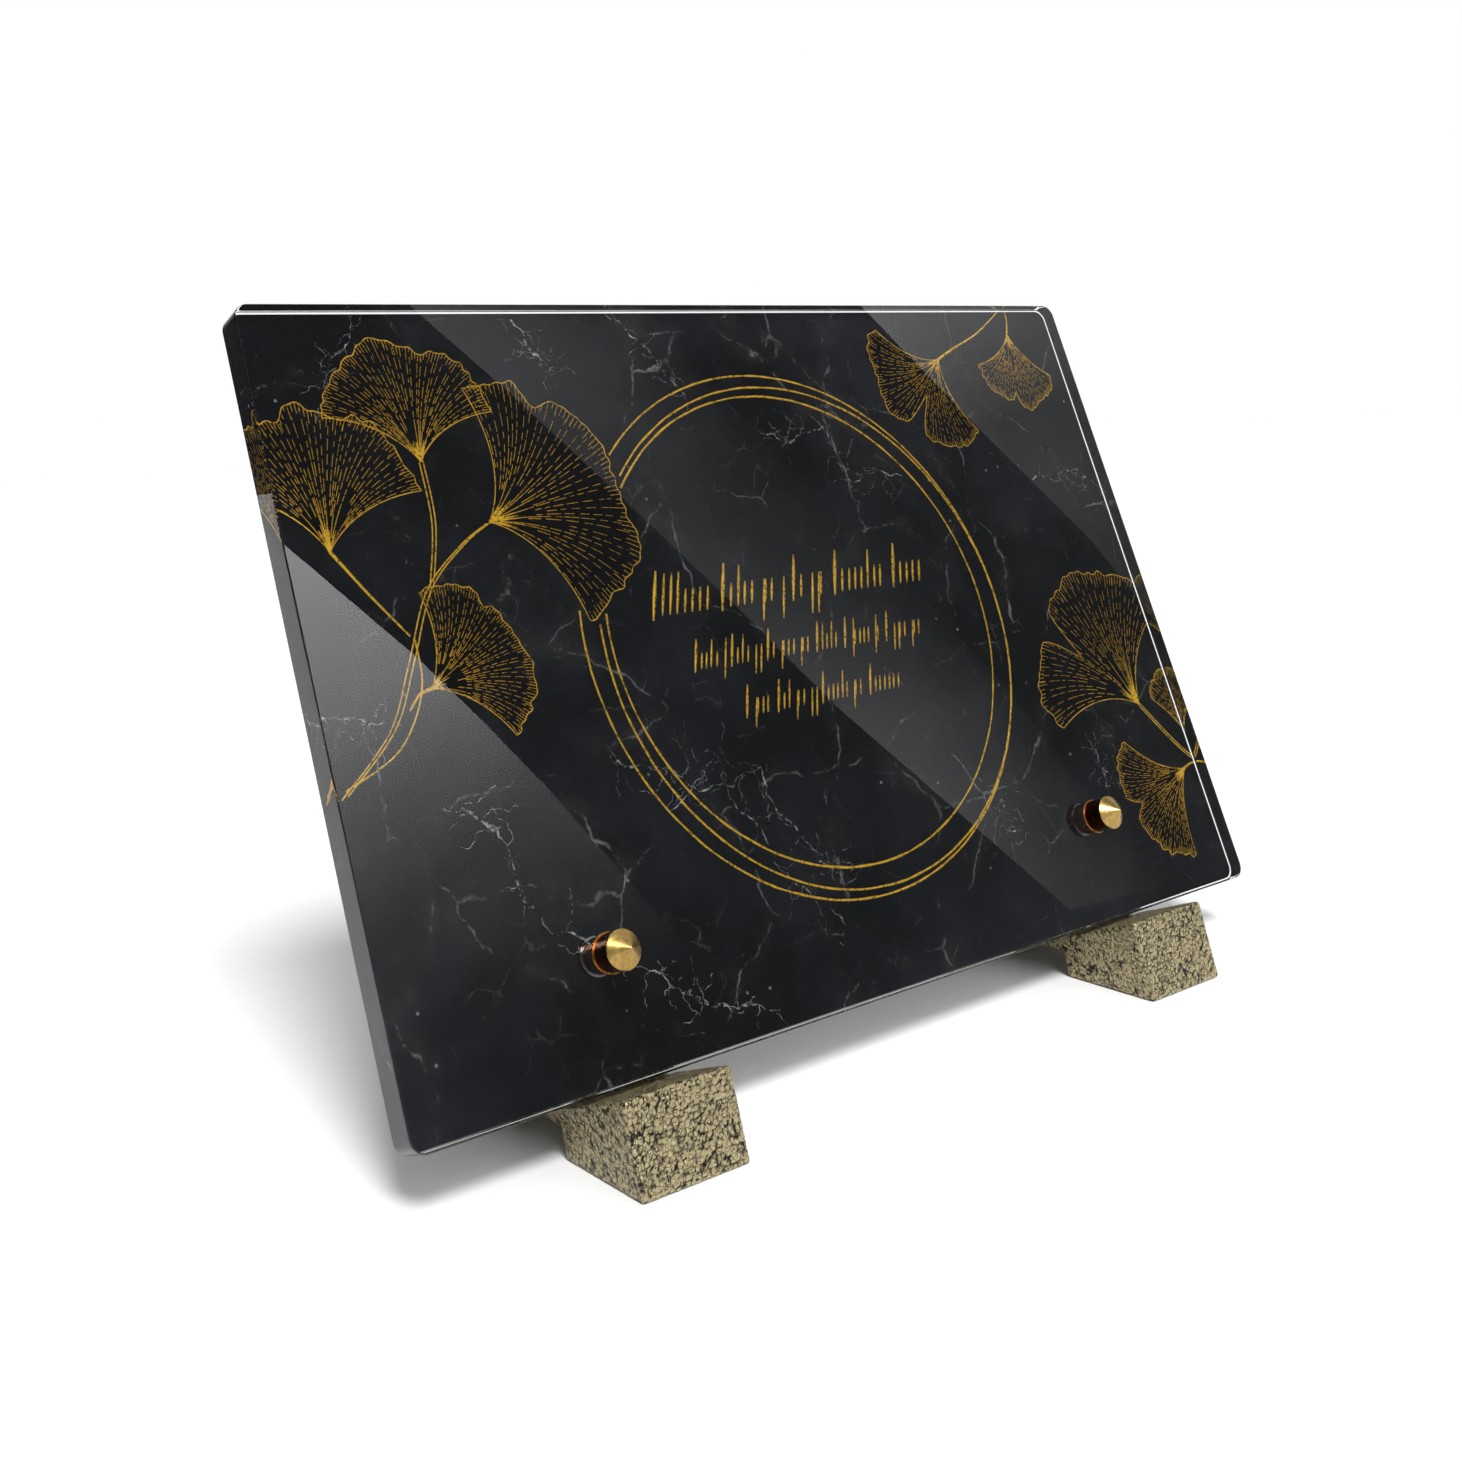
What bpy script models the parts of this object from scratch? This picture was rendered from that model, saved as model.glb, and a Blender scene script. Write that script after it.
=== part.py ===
"""Leaning memorial plaque: a clear acrylic panel with a printed backing sheet, on two cast feet.

Metres, +Z up. X runs along the plaque's width and -Y is its front. The origin is on the ground, at the
centre of the box round the whole object. The panel leans back, and two brass studs hold it to the feet.
"""

import math

import bmesh
import bpy
from mathutils import Vector

# Panel
PANEL_WIDTH = 0.300
PANEL_HEIGHT = 0.200
ACRYLIC_THICKNESS = 0.0083
BACKING_THICKNESS = 0.0004
CORNER_RADIUS = 0.004
ACRYLIC_CHAMFER = 0.0004
LEAN = math.radians(20.5)
GROUND_CLEARANCE = 0.01725  # the panel's lower front edge above the ground

# Gaps between pieces that touch on the real object
CONTACT_GAP = 0.0003
LEDGE_GAP = 0.0010  # the studs carry the panel, so it hangs just clear of the ledge

# Studs
STUD_FROM_SIDE = 0.060
STUD_FROM_BOTTOM = 0.030
CONE_RADIUS = 0.0049
CONE_HEIGHT = 0.0040
CONE_RIM = 0.0003
BARREL_RADIUS = 0.0047
BARREL_HEIGHT = 0.0062
COLLAR_RADIUS = 0.0050
COLLAR_HEIGHT = 0.0004
NECK_RADIUS = 0.0042
THREAD_RADIUS = 0.0030
THREAD_DEPTH = 0.0065  # length of thread inside the foot
TIP_FLAT = 0.0001

# Washers between the backing and the feet
WASHER_RADIUS = 0.0060
WASHER_THICKNESS = 0.0010
BACKING_HOLE_MARGIN = 0.0007  # the backing's hole is cut this much larger than the neck

# Feet
FOOT_WIDTH = 0.031
TOE_REACH = 0.021  # the front pad's front edge, ahead of the panel's lower front edge
LIP_DEPTH = 0.0155  # the ledge, ahead of the panel's front face
PAD_LENGTH = 0.031
ARCH_SPAN = 0.0285
ARCH_HEIGHT = 0.0074
PAD_DRAFT = math.radians(13.5)
ARM_THICKNESS = 0.010
ARM_ABOVE_STUD = 0.014
ARM_ROUNDING = 0.004
BRIDGE_ABOVE_ARCH = 0.0105  # metal over the arch where the arm leaves it
HEEL_ABOVE_ARCH = 0.0060
GUSSET_RADIUS = 0.009
HEEL_ROUNDING = 0.003
LEDGE_FILLET = 0.0008
EDGE_ROUNDING = 0.0010
EDGE_SEGMENTS = 2
ARC_SEGMENTS = 6
ROUND_STEPS = 48

PANEL_THICKNESS = ACRYLIC_THICKNESS + CONTACT_GAP + BACKING_THICKNESS
WASHER_FACE = PANEL_THICKNESS + CONTACT_GAP
ARM_FACE = WASHER_FACE + WASHER_THICKNESS + CONTACT_GAP
STUD_X = PANEL_WIDTH / 2 - STUD_FROM_SIDE
NECK_HOLE_RADIUS = NECK_RADIUS + CONTACT_GAP
THREAD_HOLE_RADIUS = THREAD_RADIUS + CONTACT_GAP
SIDES = {"left": -1, "right": 1}


def on_panel(depth, height):
    """The (y, z) of a point that lies this deep behind the front face and this far up the slope."""
    y = depth * math.cos(LEAN) + height * math.sin(LEAN)
    z = GROUND_CLEARANCE - depth * math.sin(LEAN) + height * math.cos(LEAN)
    return Vector((y, z))


PAD_END = PAD_LENGTH - TOE_REACH
HEEL_START = PAD_END + ARCH_SPAN
HEEL_END = HEEL_START + PAD_LENGTH
FRONT_MOST = -TOE_REACH
REAR_MOST = max(HEEL_END, on_panel(PANEL_THICKNESS, PANEL_HEIGHT).x)
CENTRE_Y = (FRONT_MOST + REAR_MOST) / 2


def clear_scene():
    for obj in list(bpy.data.objects):
        bpy.data.objects.remove(obj, do_unlink=True)


def new_collection(name):
    collection = bpy.data.collections.new(name)
    bpy.context.scene.collection.children.link(collection)
    return collection


def new_material(name, colour, roughness, metallic, alpha=1.0):
    material = bpy.data.materials.new(name)
    material.use_nodes = True
    shader = material.node_tree.nodes["Principled BSDF"]
    shader.inputs["Base Color"].default_value = (*colour, 1.0)
    shader.inputs["Roughness"].default_value = roughness
    shader.inputs["Metallic"].default_value = metallic
    shader.inputs["Alpha"].default_value = alpha
    material.diffuse_color = (*colour, alpha)
    return material


def new_object(name, mesh, collection, material=None):
    obj = bpy.data.objects.new(name, mesh)
    collection.objects.link(obj)
    if material:
        mesh.materials.append(material)
    return obj


def mesh_from_bmesh(name, bm):
    bmesh.ops.recalc_face_normals(bm, faces=bm.faces)
    mesh = bpy.data.meshes.new(name)
    bm.to_mesh(mesh)
    bm.free()
    return mesh


def rounded_outline(corners):
    """The corners (point, radius) as one closed list of points, each radius drawn as an arc."""
    points = []
    for i, (corner, radius) in enumerate(corners):
        before = (corners[i - 1][0] - corner).normalized()
        after = (corners[(i + 1) % len(corners)][0] - corner).normalized()
        if radius == 0:
            points.append(corner)
            continue
        half = before.angle(after) / 2
        middle = corner + (before + after).normalized() * radius / math.sin(half)
        start = corner + before * radius / math.tan(half) - middle
        end = corner + after * radius / math.tan(half) - middle
        turn = start.angle_signed(end)
        for step in range(ARC_SEGMENTS + 1):
            angle = -turn * step / ARC_SEGMENTS
            cosine, sine = math.cos(angle), math.sin(angle)
            spoke = Vector((start.x * cosine - start.y * sine, start.x * sine + start.y * cosine))
            points.append(middle + spoke)
    return points


def extruded_outline(name, points, thickness):
    """A mesh of the closed outline in local XY, from -thickness / 2 to thickness / 2 along local Z."""
    bm = bmesh.new()
    ring = [bm.verts.new((point.x, point.y, -thickness / 2)) for point in points]
    face = bm.faces.new(ring)
    grown = bmesh.ops.extrude_face_region(bm, geom=[face])
    lifted = [item for item in grown["geom"] if isinstance(item, bmesh.types.BMVert)]
    bmesh.ops.translate(bm, verts=lifted, vec=(0, 0, thickness))
    return mesh_from_bmesh(name, bm)


def turned_mesh(name, profile, closed=False):
    """The (radius, height) profile as edges in XZ, ready for a Screw about Z."""
    mesh = bpy.data.meshes.new(name)
    last = len(profile) if closed else len(profile) - 1
    edges = [(i, (i + 1) % len(profile)) for i in range(last)]
    mesh.from_pydata([(radius, 0, height) for radius, height in profile], edges, [])
    return mesh


def add_screw(obj):
    screw = obj.modifiers.new("Turned", "SCREW")
    screw.steps = ROUND_STEPS
    screw.render_steps = ROUND_STEPS
    screw.use_merge_vertices = True
    screw.merge_threshold = 0.00001
    screw.use_smooth_shade = True


def add_bevel(obj, width, segments):
    bevel = obj.modifiers.new("Rounded edges", "BEVEL")
    bevel.width = width
    bevel.segments = segments
    bevel.limit_method = "ANGLE"
    bevel.angle_limit = math.radians(35)


def add_cut(obj, cutter):
    cut = obj.modifiers.new("Hole", "BOOLEAN")
    cut.operation = "DIFFERENCE"
    cut.solver = "EXACT"
    cut.object = cutter


def new_cutter(name, radius, near, far, side, tilted, collection):
    """A cylinder on one stud's axis, from depth near to depth far behind the panel's front face."""
    bm = bmesh.new()
    bmesh.ops.create_cone(
        bm, cap_ends=True, segments=ROUND_STEPS, radius1=radius, radius2=radius, depth=far - near
    )
    cutter = new_object(name, mesh_from_bmesh(name, bm), collection)
    cutter.parent = tilted
    cutter.location = (SIDES[side] * STUD_X, (near + far) / 2, STUD_FROM_BOTTOM)
    cutter.rotation_euler = (math.radians(90), 0, 0)
    cutter.hide_render = True
    cutter.display_type = "WIRE"
    return cutter


def panel_layer(name, near, thickness, chamfer, hole_radius, tilted, parts, cutters, material):
    """A sheet the size of the plaque, with round corners and a hole at each stud."""
    half = PANEL_WIDTH / 2
    corners = [Vector((-half, 0)), Vector((half, 0)), Vector((half, PANEL_HEIGHT)), Vector((-half, PANEL_HEIGHT))]
    outline = rounded_outline([(corner, CORNER_RADIUS) for corner in corners])
    sheet = new_object(name, extruded_outline(name, outline, thickness), parts, material)
    sheet.parent = tilted
    sheet.location = (0, near + thickness / 2, 0)
    sheet.rotation_euler = (math.radians(90), 0, 0)
    if chamfer:
        add_bevel(sheet, chamfer, 1)
    for side in SIDES:
        cutter = new_cutter(
            f"{name}_hole_{side}", hole_radius, near - thickness, near + 2 * thickness, side, tilted, cutters
        )
        add_cut(sheet, cutter)
    return sheet


def stud_profile():
    """From the cone's tip to the thread's end, as (radius, height in front of the panel's face)."""
    collar_top = CONTACT_GAP + COLLAR_HEIGHT
    cone_base = CONTACT_GAP + BARREL_HEIGHT
    neck_end = -(ARM_FACE - CONTACT_GAP)
    thread_end = -(ARM_FACE + THREAD_DEPTH)
    return [
        (0, cone_base + CONE_HEIGHT),
        (TIP_FLAT, cone_base + CONE_HEIGHT),
        (CONE_RADIUS, cone_base + CONE_RIM),
        (CONE_RADIUS, cone_base),
        (BARREL_RADIUS, cone_base),
        (BARREL_RADIUS, collar_top),
        (COLLAR_RADIUS, collar_top),
        (COLLAR_RADIUS, CONTACT_GAP),
        (NECK_RADIUS, CONTACT_GAP),
        (NECK_RADIUS, neck_end),
        (THREAD_RADIUS, neck_end),
        (THREAD_RADIUS, thread_end),
        (0, thread_end),
    ]


def make_stud(side, tilted, parts, material):
    name = f"stud_{side}"
    stud = new_object(name, turned_mesh(name, stud_profile()), parts, material)
    stud.parent = tilted
    stud.location = (SIDES[side] * STUD_X, 0, STUD_FROM_BOTTOM)
    stud.rotation_euler = (math.radians(90), 0, 0)
    add_screw(stud)


def make_washer(side, tilted, parts, material):
    name = f"washer_{side}"
    inner = NECK_HOLE_RADIUS
    half = WASHER_THICKNESS / 2
    profile = [(inner, half), (WASHER_RADIUS, half), (WASHER_RADIUS, -half), (inner, -half)]
    washer = new_object(name, turned_mesh(name, profile, closed=True), parts, material)
    washer.parent = tilted
    washer.location = (SIDES[side] * STUD_X, WASHER_FACE + half, STUD_FROM_BOTTOM)
    washer.rotation_euler = (math.radians(90), 0, 0)
    add_screw(washer)


def foot_outline():
    """The foot seen from its side, as (y, z) corners with their radii, from the toe round to the arch."""
    draft = math.tan(PAD_DRAFT)
    arm_top = STUD_FROM_BOTTOM + ARM_ABOVE_STUD
    arm_back = ARM_FACE + ARM_THICKNESS
    bridge_top = ARCH_HEIGHT + BRIDGE_ABOVE_ARCH
    heel_top = ARCH_HEIGHT + HEEL_ABOVE_ARCH
    foot_of_arm = on_panel(arm_back, 0)
    climb = (bridge_top - foot_of_arm.y) / math.cos(LEAN)
    return [
        (Vector((-TOE_REACH, 0)), 0),
        (on_panel(-LIP_DEPTH, -LEDGE_GAP), 0),
        (on_panel(ARM_FACE, -LEDGE_GAP), LEDGE_FILLET),
        (on_panel(ARM_FACE, arm_top), ARM_ROUNDING),
        (on_panel(arm_back, arm_top), ARM_ROUNDING),
        (on_panel(arm_back, climb), GUSSET_RADIUS),
        (Vector((HEEL_END - draft * heel_top, heel_top)), HEEL_ROUNDING),
        (Vector((HEEL_END, 0)), 0),
        (Vector((HEEL_START, 0)), 0),
        (Vector((HEEL_START - draft * ARCH_HEIGHT, ARCH_HEIGHT)), 0),
        (Vector((PAD_END + draft * ARCH_HEIGHT, ARCH_HEIGHT)), 0),
        (Vector((PAD_END, 0)), 0),
    ]


def make_foot(side, tilted, parts, cutters, material):
    name = f"foot_{side}"
    outline = rounded_outline(foot_outline())
    foot = new_object(name, extruded_outline(name, outline, FOOT_WIDTH), parts, material)
    foot.location = (SIDES[side] * STUD_X, -CENTRE_Y, 0)
    foot.rotation_euler = (math.radians(90), 0, math.radians(90))
    add_bevel(foot, EDGE_ROUNDING, EDGE_SEGMENTS)
    hole_end = ARM_FACE + THREAD_DEPTH + CONTACT_GAP
    hole_start = ARM_FACE - THREAD_DEPTH
    cutter = new_cutter(
        f"{name}_hole", THREAD_HOLE_RADIUS, hole_start, hole_end, side, tilted, cutters
    )
    add_cut(foot, cutter)


def main():
    clear_scene()
    parts = new_collection("memorial_plaque")
    cutters = new_collection("cutters")
    cutters.hide_render = True
    tilted = bpy.data.objects.new("panel_slope", None)
    parts.objects.link(tilted)
    tilted.location = (0, -CENTRE_Y, GROUND_CLEARANCE)
    tilted.rotation_euler = (-LEAN, 0, 0)

    acrylic = new_material("Clear acrylic", (0.75, 0.78, 0.80), 0.03, 0.0, alpha=0.25)
    backing = new_material("Black marble print", (0.018, 0.019, 0.023), 0.35, 0.0)
    bronze = new_material("Hammered bronze lacquer", (0.36, 0.29, 0.14), 0.40, 0.85)
    brass = new_material("Turned brass", (0.72, 0.52, 0.24), 0.25, 1.0)
    steel = new_material("Stainless steel", (0.62, 0.62, 0.63), 0.28, 1.0)

    panel_layer(
        "acrylic_panel", 0, ACRYLIC_THICKNESS, ACRYLIC_CHAMFER, NECK_HOLE_RADIUS, tilted, parts, cutters, acrylic
    )
    backing_near = ACRYLIC_THICKNESS + CONTACT_GAP
    backing_hole = NECK_RADIUS + BACKING_HOLE_MARGIN
    panel_layer(
        "printed_backing", backing_near, BACKING_THICKNESS, 0, backing_hole, tilted, parts, cutters, backing
    )
    for side in SIDES:
        make_foot(side, tilted, parts, cutters, bronze)
        make_washer(side, tilted, parts, steel)
        make_stud(side, tilted, parts, brass)
    bpy.context.view_layer.update()


main()
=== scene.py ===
# %% [markdown]
# # A leaning memorial plaque in clear acrylic
# The real object is a thick clear acrylic panel whose back carries a black marble print with gold line
# art. Two brass studs hold it to a pair of cast feet with hammered bronze lacquer. This lesson dresses
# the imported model: it starts from the fixed frame, which already holds every piece at its real size.

# %% Load the frame
import math
import random

import bmesh
import bpy
from mathutils import Euler, Matrix, Vector, noise


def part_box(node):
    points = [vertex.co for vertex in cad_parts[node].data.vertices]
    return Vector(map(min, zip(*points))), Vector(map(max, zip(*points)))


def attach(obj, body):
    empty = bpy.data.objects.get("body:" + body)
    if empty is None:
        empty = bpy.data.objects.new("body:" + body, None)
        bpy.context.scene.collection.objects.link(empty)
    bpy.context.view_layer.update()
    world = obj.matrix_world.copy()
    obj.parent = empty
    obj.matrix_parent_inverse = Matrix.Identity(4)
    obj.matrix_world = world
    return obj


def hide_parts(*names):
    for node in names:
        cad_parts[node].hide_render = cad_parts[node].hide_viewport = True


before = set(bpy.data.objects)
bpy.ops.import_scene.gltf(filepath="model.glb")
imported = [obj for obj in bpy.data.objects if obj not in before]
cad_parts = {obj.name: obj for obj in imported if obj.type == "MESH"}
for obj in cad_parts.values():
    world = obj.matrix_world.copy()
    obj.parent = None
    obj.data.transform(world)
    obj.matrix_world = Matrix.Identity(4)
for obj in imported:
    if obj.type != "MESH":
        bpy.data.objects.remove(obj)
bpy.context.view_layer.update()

scene = bpy.context.scene
scene.view_settings.view_transform = "Standard"
MM = 0.001
print("nodes:", sorted(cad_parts))

# %% [markdown]
# The panel leans back, so its art is easiest to draw in the panel's own coordinates: x along the width,
# depth behind the front face and height up the slope. The matrix that carries such a point into the
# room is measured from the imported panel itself, by looking along its two tilted directions.

# %% Measure the panel
LEAN = math.radians(20.5)
UP_SLOPE = Vector((0, math.sin(LEAN), math.cos(LEAN)))
INTO_PANEL = Vector((0, math.cos(LEAN), -math.sin(LEAN)))


def span_along(node, direction):
    """The lowest and highest place of a node's points along a direction."""
    places = [v.co.dot(direction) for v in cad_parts[node].data.vertices]
    return min(places), max(places)


front_face = span_along("acrylic_panel", INTO_PANEL)[0]
low_edge, high_edge = span_along("acrylic_panel", UP_SLOPE)
sheet_front, sheet_back = [place - front_face for place in span_along("printed_backing", INTO_PANEL)]
panel_low, panel_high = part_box("acrylic_panel")
PANEL_WIDTH = panel_high.x - panel_low.x
PANEL_HEIGHT = high_edge - low_edge
LOWER_FRONT_EDGE = INTO_PANEL * front_face + UP_SLOPE * low_edge
FROM_PANEL = Matrix.Translation(LOWER_FRONT_EDGE) @ Matrix.Rotation(-LEAN, 4, "X")
stud_x = sum(corner.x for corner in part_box("stud_right")) / 2
stud_height = 30 * MM
print("panel in mm:", [round(size / MM, 2) for size in (PANEL_WIDTH, PANEL_HEIGHT, sheet_front)])

# %% [markdown]
# Colours are written as the hex values that a picture editor shows, and one function turns them into the
# linear values that a renderer works in. One more function adds a node with its settings and its links,
# which keeps each material short enough to read as a recipe.

# %% Colour and node helpers
def colour(hex_value):
    """An sRGB hex colour as linear RGBA."""
    channels = [int(hex_value[i:i + 2], 16) / 255 for i in (1, 3, 5)]
    linear = [c / 12.92 if c <= 0.04045 else ((c + 0.055) / 1.055) ** 2.4 for c in channels]
    return (*linear, 1.0)


def node(material, kind, inputs=None, **settings):
    """Adds a node. Its inputs are plain values, or sockets of other nodes to link from."""
    tree = material.node_tree
    made = tree.nodes.new(kind)
    for name, value in settings.items():
        setattr(made, name, value)
    for name, value in (inputs or {}).items():
        if isinstance(value, bpy.types.NodeSocket):
            tree.links.new(value, made.inputs[name])
        else:
            made.inputs[name].default_value = value
    return made


def new_material(name, **shader_values):
    """A material with its Principled shader set to plain values."""
    material = bpy.data.materials.new(name)
    material.use_nodes = True
    shader = material.node_tree.nodes["Principled BSDF"]
    for socket, value in shader_values.items():
        shader.inputs[socket.replace("_", " ")].default_value = value
    return material, shader


def link(material, output, shader, socket):
    material.node_tree.links.new(output, shader.inputs[socket])


def blend_colours(material, share, first, second):
    """Two colours mixed by a share from 0 to 1."""
    mix = node(material, "ShaderNodeMix", {"Factor": share}, data_type="RGBA")
    for slot, value in ((6, first), (7, second)):
        if isinstance(value, bpy.types.NodeSocket):
            material.node_tree.links.new(value, mix.inputs[slot])
        else:
            mix.inputs[slot].default_value = value
    return mix.outputs[2]


print("helpers ready")

# %% [markdown]
# The camera stands to the left of the plaque and a little above it. Its place, its turn and its lens come
# from matching the panel's corners, the studs and the feet in the photograph. The lens is shifted a
# little, because the photograph's centre isn't where the camera points.

# %% Camera
IMAGE_SIDE = 1462
FOCAL_PIXELS = 1666.2
AIM_PIXEL = (651.1, 489.5)
CAMERA_FROM_EDGE = Vector((-311.3, -313.2, 172.3)) * MM
CAMERA_TURN = math.radians(36.60)
CAMERA_DOWN = math.radians(2.475)
CAMERA_ROLL = math.radians(2.737)

edge_y = (FROM_PANEL @ Vector((0, 0, 0))).y
camera_data = bpy.data.cameras.new("camera")
camera_data.sensor_width = 36
camera_data.lens = FOCAL_PIXELS / IMAGE_SIDE * camera_data.sensor_width
camera_data.shift_x = (IMAGE_SIDE / 2 - AIM_PIXEL[0]) / IMAGE_SIDE
camera_data.shift_y = (AIM_PIXEL[1] - IMAGE_SIDE / 2) / IMAGE_SIDE
camera = bpy.data.objects.new("camera", camera_data)
scene.collection.objects.link(camera)
turn = Euler((math.radians(90) - CAMERA_DOWN, 0, -CAMERA_TURN)).to_matrix()
roll = Matrix.Rotation(-CAMERA_ROLL, 3, "Z")
camera.matrix_world = Matrix.Translation(CAMERA_FROM_EDGE + Vector((0, edge_y, 0))) @ (turn @ roll).to_4x4()
scene.camera = camera
print("lens and shift:", [round(v, 3) for v in (camera_data.lens, camera_data.shift_x, camera_data.shift_y)])

# %% [markdown]
# Every finished piece stands at the origin, unturned, with its place in its mesh. One function turns a
# bmesh that was drawn in panel coordinates into such a piece, and rides it on the one body.

# %% Finishing a piece
def finish_piece(name, bm, material, place=None, stands_for=(), smooth_angle=None):
    """Moves the bmesh into place and makes it a piece of the object."""
    if place is not None:
        bm.transform(place)
    bmesh.ops.recalc_face_normals(bm, faces=bm.faces)
    mesh = bpy.data.meshes.new(name)
    bm.to_mesh(mesh)
    bm.free()
    mesh.materials.append(material)
    if smooth_angle is not None:
        mesh.shade_smooth()
        mesh.set_sharp_from_angle(angle=math.radians(smooth_angle))
    piece = bpy.data.objects.new(name, mesh)
    scene.collection.objects.link(piece)
    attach(piece, "root")
    if stands_for:
        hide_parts(*stands_for)
    print(name, len(mesh.polygons), "faces")
    return piece


def rounded_sheet(width, height, margin, near, far, corner, bevel, hole_radius):
    """A sheet with round corners and two stud holes, in panel coordinates, its margin inside the edge."""
    bm = bmesh.new()
    bmesh.ops.create_cube(bm, size=1)
    bmesh.ops.scale(bm, vec=(width - 2 * margin, far - near, height - 2 * margin), verts=bm.verts)
    bmesh.ops.translate(bm, vec=(0, (near + far) / 2, height / 2), verts=bm.verts)
    upright = [e for e in bm.edges if abs(e.verts[0].co.y - e.verts[1].co.y) > (far - near) / 2]
    bmesh.ops.bevel(bm, geom=upright, offset=corner, affect="EDGES", segments=10, profile=0.5, material=-1)
    if bevel:
        rim = [e for e in bm.edges if len(e.link_faces) == 2 and e.calc_face_angle() > math.radians(60)]
        bmesh.ops.bevel(bm, geom=rim, offset=bevel, affect="EDGES", segments=3, profile=0.5, material=-1)
    return cut_holes(bm, near, far, hole_radius)


def cut_holes(bm, near, far, radius):
    """Bores both stud holes with an exact Boolean on a passing object."""
    sheet_mesh = bpy.data.meshes.new("sheet_blank")
    bm.to_mesh(sheet_mesh)
    bm.free()
    blank = bpy.data.objects.new("sheet_blank", sheet_mesh)
    drill_bm = bmesh.new()
    for side in (-1, 1):
        reach = 3 * (far - near)
        middle = Matrix.Translation((side * stud_x, (near + far) / 2, stud_height))
        place = middle @ Matrix.Rotation(math.pi / 2, 4, "X")
        bmesh.ops.create_cone(
            drill_bm, cap_ends=True, segments=96, radius1=radius, radius2=radius, depth=reach, matrix=place
        )
    drill_mesh = bpy.data.meshes.new("drill")
    drill_bm.to_mesh(drill_mesh)
    drill_bm.free()
    drill = bpy.data.objects.new("drill", drill_mesh)
    for obj in (blank, drill):
        scene.collection.objects.link(obj)
    cut = blank.modifiers.new("holes", "BOOLEAN")
    cut.object = drill
    bpy.context.view_layer.update()
    drilled = bmesh.new()
    drilled.from_object(blank, bpy.context.evaluated_depsgraph_get())
    for obj in (blank, drill):
        bpy.data.objects.remove(obj)
    return drilled


print("piece makers ready")

# %% [markdown]
# The panel is cast acrylic, also called plexiglass: very clear, with a refractive index of 1.49 and
# flame-polished edges. It is a closed body with that index, so its edges bend and mirror what lies
# behind them, as the real ones do. It reaches a hair into the printed sheet, because ink sticks to
# acrylic with no air between them, and an air gap would turn the back face into a mirror.

# %% The clear panel
INK_CONTACT = 0.1 * MM
CORNER_RADIUS = 4 * MM
EDGE_BEVEL = 0.35 * MM
neck_radius = 4.2 * MM
CLEAR_BORE_GAP = 0.3 * MM
SHEET_BORE_GAP = 0.7 * MM
acrylic, _ = new_material(
    "flame_polished_clear_acrylic",
    Base_Color=colour("#FBFDFC"), Roughness=0.0, IOR=1.49, Transmission_Weight=1.0,
)
clear_bm = rounded_sheet(
    PANEL_WIDTH, PANEL_HEIGHT, 0, 0, sheet_front + INK_CONTACT, CORNER_RADIUS, EDGE_BEVEL,
    neck_radius + CLEAR_BORE_GAP,
)
finish_piece(
    "clear_panel", clear_bm, acrylic, FROM_PANEL, ("acrylic_panel",), smooth_angle=15
)

# %% [markdown]
# The print is a photograph-like black marble: a nearly black, slightly blue ground with soft grey clouds,
# a web of thin broken white veins and a few bright specks. Voronoi cells whose edges are bent by noise
# make the veins, a second noise breaks them up, and soft noise makes the clouds. The scales are worked
# out from real sizes on the panel, such as 35 mm between veins.

# %% The printed sheet
PRINT_MARGIN = 0.55 * MM
VEIN_SPACING = 42 * MM
FINE_VEIN_SPACING = 15 * MM
CLOUD_SIZE = 60 * MM
SPECK_SPACING = 11 * MM


def bent_position(material, position, size, reach):
    """The position pushed about by noise of this size in metres, so that straight edges meander."""
    warp = node(material, "ShaderNodeTexNoise", {"Vector": position, "Scale": 1 / size, "Detail": 6.0})
    centre = (0.5, 0.5, 0.5)
    push = warp.outputs["Color"]
    centred = node(material, "ShaderNodeVectorMath", {0: push, 1: centre}, operation="SUBTRACT")
    grown = node(material, "ShaderNodeVectorMath", {0: centred.outputs[0], "Scale": reach}, operation="SCALE")
    moved = node(material, "ShaderNodeVectorMath", {0: position, 1: grown.outputs[0]}, operation="ADD")
    return moved.outputs[0]


def vein_web(material, position, spacing, width, broken_size, broken_from):
    """Thin broken lines between bent Voronoi cells, as a share from 0 to 1."""
    bent = bent_position(material, position, spacing * 0.7, spacing * 0.5)
    cells = node(
        material, "ShaderNodeTexVoronoi", {"Vector": bent, "Scale": 1 / spacing}, feature="DISTANCE_TO_EDGE"
    )
    line = node(
        material, "ShaderNodeMapRange",
        {"Value": cells.outputs["Distance"], "From Min": 0.0, "From Max": width, "To Min": 1.0, "To Max": 0.0},
        interpolation_type="SMOOTHSTEP",
    )
    breaks = node(
        material, "ShaderNodeTexNoise",
        {"Vector": position, "Scale": 1 / broken_size, "Detail": 9.0, "Roughness": 0.78},
    )
    seen = node(
        material, "ShaderNodeMapRange",
        {"Value": breaks.outputs["Fac"], "From Min": broken_from, "From Max": broken_from + 0.16},
    )
    return node(
        material, "ShaderNodeMath", {0: line.outputs[0], 1: seen.outputs[0]}, operation="MULTIPLY"
    ).outputs[0]


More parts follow.
